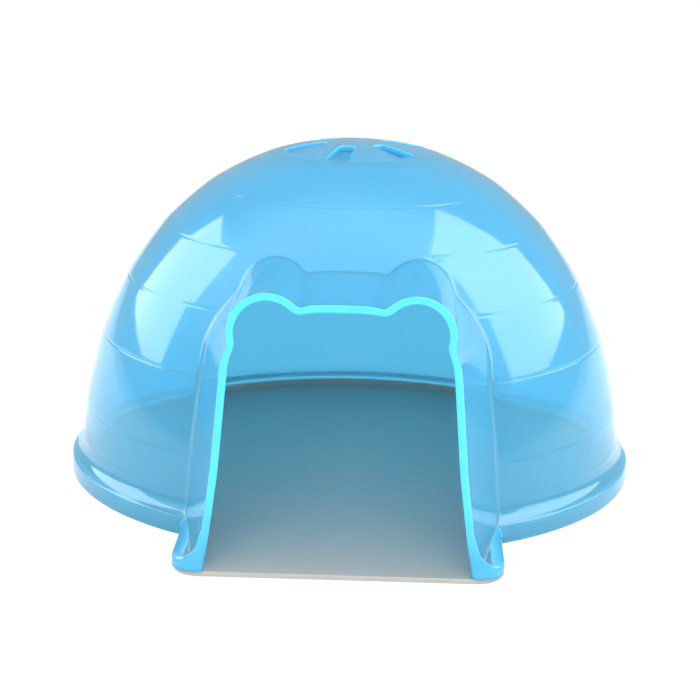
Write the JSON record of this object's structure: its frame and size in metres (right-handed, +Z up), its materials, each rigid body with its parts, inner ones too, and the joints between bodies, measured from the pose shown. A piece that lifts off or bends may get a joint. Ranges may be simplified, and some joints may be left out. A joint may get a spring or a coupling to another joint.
{
  "type": "small pet igloo house",
  "caption": "Translucent domed hide for a small pet with an open bear-eared porch, vent slots in the crown and a flat floor tray.",
  "frame": {"origin": "on the floor under the crown, where the dome's axis meets the underside of the tray", "axes": "+Z up along the dome's axis, porch and doorway towards -Y, +X to the right of someone who looks into the doorway"},
  "size_m": [0.125, 0.1385, 0.073],
  "materials": {
    "igloo_plastic": "clear-tinted blue, polished moulding",
    "tray_plastic": "pale grey, smooth"
  },
  "bodies": {
    "tray": {"floor_tray": "tray_plastic"},
    "igloo": {"igloo_shell": "igloo_plastic"}
  },
  "joints": [
    {"name": "lift_off", "type": "slide", "parent": "tray", "child": "igloo", "axis": [0, 0, 1], "range_m": [0, 0.09]}
  ]
}
